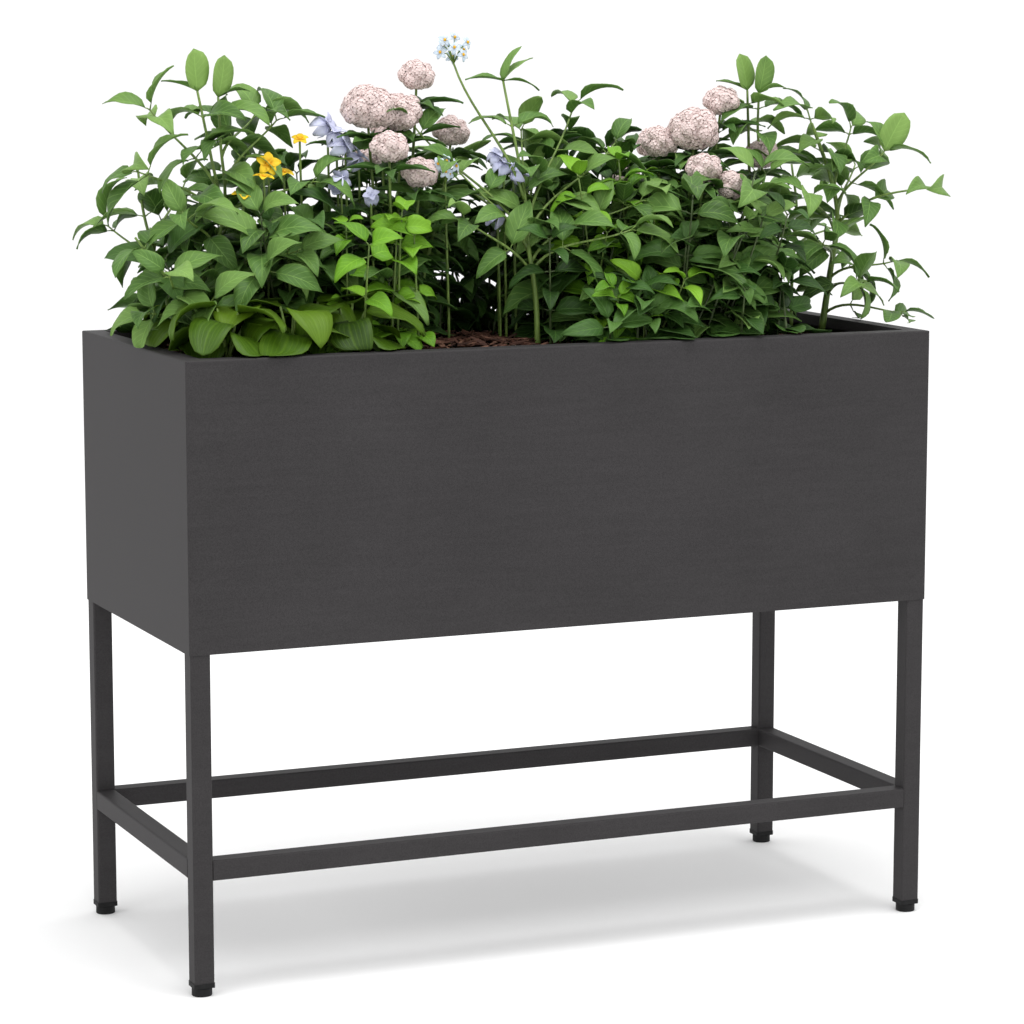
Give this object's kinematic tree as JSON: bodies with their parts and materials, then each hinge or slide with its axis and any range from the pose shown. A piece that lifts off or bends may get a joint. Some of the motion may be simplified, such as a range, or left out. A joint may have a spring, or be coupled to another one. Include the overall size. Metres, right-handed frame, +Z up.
{
  "type": "raised planter on legs",
  "caption": "Long powder-coated steel planter box on a slim square-tube stand with screw-out feet, planted with shrubs and flowers.",
  "frame": {"origin": "on the ground under the middle of the box, at the bottom centre of the bounding box", "axes": "+Z up, +X along the box's length to the right, front facing -Y"},
  "size_m": [0.94, 0.4, 0.92],
  "materials": {
    "powder_coat": "satin",
    "zinc_steel": "satin",
    "black_plastic": "matte",
    "compost": "matte",
    "bark": "matte",
    "foliage": "satin",
    "petals": "satin"
  },
  "bodies": {
    "stand_and_box": {"front_panel": "powder_coat", "back_panel": "powder_coat", "left_panel": "powder_coat", "right_panel": "powder_coat", "floor_sheet": "powder_coat", "floor_brace_left": "powder_coat", "floor_brace_middle": "powder_coat", "floor_brace_right": "powder_coat", "leg_front_left": "powder_coat", "leg_front_right": "powder_coat", "leg_back_left": "powder_coat", "leg_back_right": "powder_coat", "stretcher_front": "powder_coat", "stretcher_back": "powder_coat", "stretcher_left": "powder_coat", "stretcher_right": "powder_coat", "end_plug_front_left": "black_plastic", "end_plug_front_right": "black_plastic", "end_plug_back_left": "black_plastic", "end_plug_back_right": "black_plastic", "stud_nut_front_left": "zinc_steel", "stud_nut_front_right": "zinc_steel", "stud_nut_back_left": "zinc_steel", "stud_nut_back_right": "zinc_steel"},
    "planting": {"compost": "compost", "bark_mulch": "bark", "shrub_left": "foliage", "flowering_shrub_left": "foliage", "tall_plant_middle": "foliage", "flowering_shrub_right": "foliage", "shrub_right": "foliage", "broad_leaf_clump_left": "foliage", "low_clump_middle": "foliage", "low_clump_right": "foliage"},
    "pad_front_left": {"foot_pad_front_left": "black_plastic"},
    "stud_front_left": {"foot_stud_front_left": "zinc_steel"},
    "pad_front_right": {"foot_pad_front_right": "black_plastic"},
    "stud_front_right": {"foot_stud_front_right": "zinc_steel"},
    "pad_back_left": {"foot_pad_back_left": "black_plastic"},
    "stud_back_left": {"foot_stud_back_left": "zinc_steel"},
    "pad_back_right": {"foot_pad_back_right": "black_plastic"},
    "stud_back_right": {"foot_stud_back_right": "zinc_steel"}
  },
  "joints": [
    {"name": "planting_lift", "type": "slide", "parent": "stand_and_box", "child": "planting", "axis": [0, 0, 1], "range_m": [0, 0.3]},
    {"name": "foot_extend_front_left", "type": "slide", "parent": "stand_and_box", "child": "pad_front_left", "axis": [0, 0, -1], "range_m": [0, 0.012]},
    {"name": "foot_turn_front_left", "type": "hinge", "parent": "pad_front_left", "child": "stud_front_left", "pos_m": [-0.389, -0.163, 0.02], "axis": [0, 0, -1], "range_deg": [0, 3456]},
    {"name": "foot_extend_front_right", "type": "slide", "parent": "stand_and_box", "child": "pad_front_right", "axis": [0, 0, -1], "range_m": [0, 0.012]},
    {"name": "foot_turn_front_right", "type": "hinge", "parent": "pad_front_right", "child": "stud_front_right", "pos_m": [0.389, -0.163, 0.02], "axis": [0, 0, -1], "range_deg": [0, 3456]},
    {"name": "foot_extend_back_left", "type": "slide", "parent": "stand_and_box", "child": "pad_back_left", "axis": [0, 0, -1], "range_m": [0, 0.012]},
    {"name": "foot_turn_back_left", "type": "hinge", "parent": "pad_back_left", "child": "stud_back_left", "pos_m": [-0.389, 0.163, 0.02], "axis": [0, 0, -1], "range_deg": [0, 3456]},
    {"name": "foot_extend_back_right", "type": "slide", "parent": "stand_and_box", "child": "pad_back_right", "axis": [0, 0, -1], "range_m": [0, 0.012]},
    {"name": "foot_turn_back_right", "type": "hinge", "parent": "pad_back_right", "child": "stud_back_right", "pos_m": [0.389, 0.163, 0.02], "axis": [0, 0, -1], "range_deg": [0, 3456]}
  ],
  "couplings": [
    {"joint": "foot_turn_front_left", "follows": "foot_extend_front_left", "rad_per_m": 5026.5},
    {"joint": "foot_turn_front_right", "follows": "foot_extend_front_right", "rad_per_m": 5026.5},
    {"joint": "foot_turn_back_left", "follows": "foot_extend_back_left", "rad_per_m": 5026.5},
    {"joint": "foot_turn_back_right", "follows": "foot_extend_back_right", "rad_per_m": 5026.5}
  ]
}
